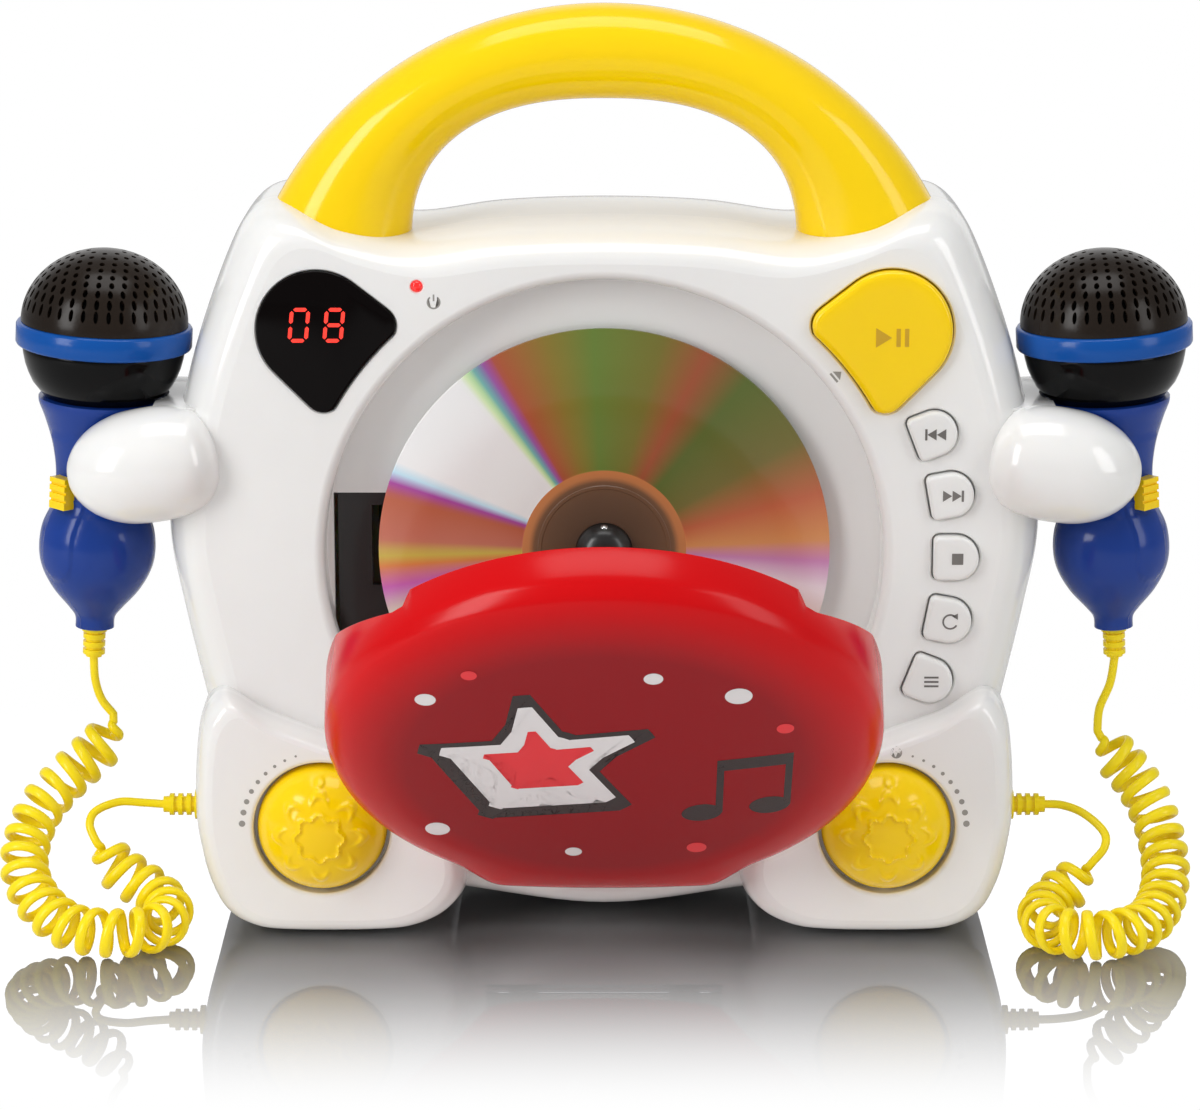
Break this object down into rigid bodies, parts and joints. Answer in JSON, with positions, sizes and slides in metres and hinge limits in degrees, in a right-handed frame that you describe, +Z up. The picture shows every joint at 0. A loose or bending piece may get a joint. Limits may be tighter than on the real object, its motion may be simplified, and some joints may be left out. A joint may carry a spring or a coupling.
{
  "type": "karaoke machine",
  "caption": "Children's karaoke disc player with a round disc well under a hinged red lid, arched carry handle, keys, volume knobs and two corded microphones held in side hands.",
  "frame": {"origin": "on the floor, under the middle of the object's box, cords left out", "axes": "+Z up, -Y is the front with the disc well, +X is to the right as seen from the front"},
  "size_m": [0.3209, 0.1901, 0.2462],
  "materials": {
    "white_case": "gloss moulded",
    "white_key": "satin",
    "yellow": "gloss moulded",
    "red": "high gloss",
    "blue": "gloss moulded",
    "black": "gloss",
    "black_matte": "matt",
    "rubber": "matt",
    "steel": "bright",
    "board": "solder mask",
    "disc_mirror": "polycarbonate over aluminium",
    "led_red": "clear red",
    "natural": "unpainted moulding",
    "cord_yellow": "soft satin jacket"
  },
  "bodies": {
    "root": {"front_shell": "white_case", "rear_shell": "white_case", "disc_deck": "white_case", "left_arm": "white_case", "right_arm": "white_case", "battery_box": "white_case", "handle_front": "yellow", "handle_rear": "yellow", "cord_reliefs": "cord_yellow", "left_cord": "cord_yellow", "right_cord": "cord_yellow", "left_curl": "cord_yellow", "right_curl": "cord_yellow", "display_window": "black", "display_module": "led_red", "power_led": "led_red", "key_board": "board", "main_board": "board", "volume_pots": "steel", "spindle_motor": "steel", "guide_rods": "steel", "sled_motor": "steel", "hinge_pin": "steel", "battery_contacts": "steel", "shell_screws": "steel", "mechanism_chassis": "black_matte", "left_speaker": "black_matte", "right_speaker": "black_matte", "dc_inlet": "black_matte", "lid_switch": "black_matte", "damper_bushes": "rubber", "rubber_feet": "rubber"},
    "lid": {"lid_cover": "red", "lid_liner": "natural"},
    "back_key": {"key_back": "white_key"},
    "forward_key": {"key_forward": "white_key"},
    "stop_key": {"key_stop": "white_key"},
    "repeat_key": {"key_repeat": "white_key"},
    "mode_key": {"key_mode": "white_key"},
    "play_key": {"play_button": "yellow"},
    "left_volume": {"left_knob": "yellow"},
    "right_volume": {"right_knob": "yellow"},
    "spindle": {"turntable": "black"},
    "disc": {"disc": "disc_mirror"},
    "sled": {"pickup_sled": "black_matte"},
    "gear": {"drive_gear": "natural"},
    "pinion": {"motor_pinion": "natural"},
    "door": {"battery_door": "white_case"},
    "left_mic": {"left_mic_handle": "blue", "left_mic_cup": "black", "left_mic_band": "blue", "left_mic_grille": "black", "left_mic_relief": "cord_yellow"},
    "right_mic": {"right_mic_handle": "blue", "right_mic_cup": "black", "right_mic_band": "blue", "right_mic_grille": "black", "right_mic_relief": "cord_yellow"},
    "left_slider": {"left_mic_switch": "yellow"},
    "right_slider": {"right_mic_switch": "yellow"}
  },
  "joints": [
    {"name": "lid_hinge", "type": "hinge", "parent": "root", "child": "lid", "pos_m": [0, 0.0212, 0.022], "axis": [1, 0, 0], "range_deg": [-41.5, 0]},
    {"name": "back_key_press", "type": "slide", "parent": "root", "child": "back_key", "axis": [0, 1, 0], "range_m": [0, 0.0015], "stiffness_N_per_m": 500, "springref_m": -0.0006},
    {"name": "forward_key_press", "type": "slide", "parent": "root", "child": "forward_key", "axis": [0, 1, 0], "range_m": [0, 0.0015], "stiffness_N_per_m": 500, "springref_m": -0.0006},
    {"name": "stop_key_press", "type": "slide", "parent": "root", "child": "stop_key", "axis": [0, 1, 0], "range_m": [0, 0.0015], "stiffness_N_per_m": 500, "springref_m": -0.0006},
    {"name": "repeat_key_press", "type": "slide", "parent": "root", "child": "repeat_key", "axis": [0, 1, 0], "range_m": [0, 0.0015], "stiffness_N_per_m": 500, "springref_m": -0.0006},
    {"name": "mode_key_press", "type": "slide", "parent": "root", "child": "mode_key", "axis": [0, 1, 0], "range_m": [0, 0.0015], "stiffness_N_per_m": 500, "springref_m": -0.0006},
    {"name": "play_press", "type": "slide", "parent": "root", "child": "play_key", "axis": [0, 1, 0], "range_m": [0, 0.0015], "stiffness_N_per_m": 500, "springref_m": -0.0006},
    {"name": "left_volume_turn", "type": "hinge", "parent": "root", "child": "left_volume", "pos_m": [-0.0751, -0.003, 0.0313], "axis": [0, -1, 0], "range_deg": [-150, 150]},
    {"name": "right_volume_turn", "type": "hinge", "parent": "root", "child": "right_volume", "pos_m": [0.0751, -0.003, 0.0313], "axis": [0, -1, 0], "range_deg": [-150, 150]},
    {"name": "spindle_spin", "type": "hinge", "parent": "root", "child": "spindle", "pos_m": [0, 0.017, 0.103], "axis": [0, -1, 0], "continuous": true},
    {"name": "disc_lift", "type": "slide", "parent": "spindle", "child": "disc", "axis": [0, -1, 0], "range_m": [0, 0.008]},
    {"name": "sled_travel", "type": "slide", "parent": "root", "child": "sled", "axis": [-1, 0, 0], "range_m": [0, 0.03]},
    {"name": "gear_spin", "type": "hinge", "parent": "root", "child": "gear", "pos_m": [-0.03, 0.029, 0.0724], "axis": [0, -1, 0], "range_deg": [-10, 320]},
    {"name": "pinion_spin", "type": "hinge", "parent": "root", "child": "pinion", "pos_m": [-0.02024, 0.034, 0.06264], "axis": [0, -1, 0], "range_deg": [-1150, 30]},
    {"name": "battery_door_swing", "type": "hinge", "parent": "root", "child": "door", "pos_m": [0, 0.0939, 0.0306], "axis": [-1, 0, 0], "range_deg": [0, 75]},
    {"name": "left_mic_lift", "type": "slide", "parent": "root", "child": "left_mic", "axis": [0.061, 0, 0.9981], "range_m": [0, 0.07]},
    {"name": "right_mic_lift", "type": "slide", "parent": "root", "child": "right_mic", "axis": [-0.061, 0, 0.9981], "range_m": [0, 0.07]},
    {"name": "left_switch_slide", "type": "slide", "parent": "left_mic", "child": "left_slider", "axis": [0.061, 0, 0.9981], "range_m": [0, 0.0015]},
    {"name": "right_switch_slide", "type": "slide", "parent": "right_mic", "child": "right_slider", "axis": [-0.061, 0, 0.9981], "range_m": [0, 0.0015]}
  ],
  "couplings": [
    {"joint": "gear_spin", "follows": "sled_travel", "rad_per_m": 178.57},
    {"joint": "pinion_spin", "follows": "sled_travel", "rad_per_m": -642.86}
  ]
}
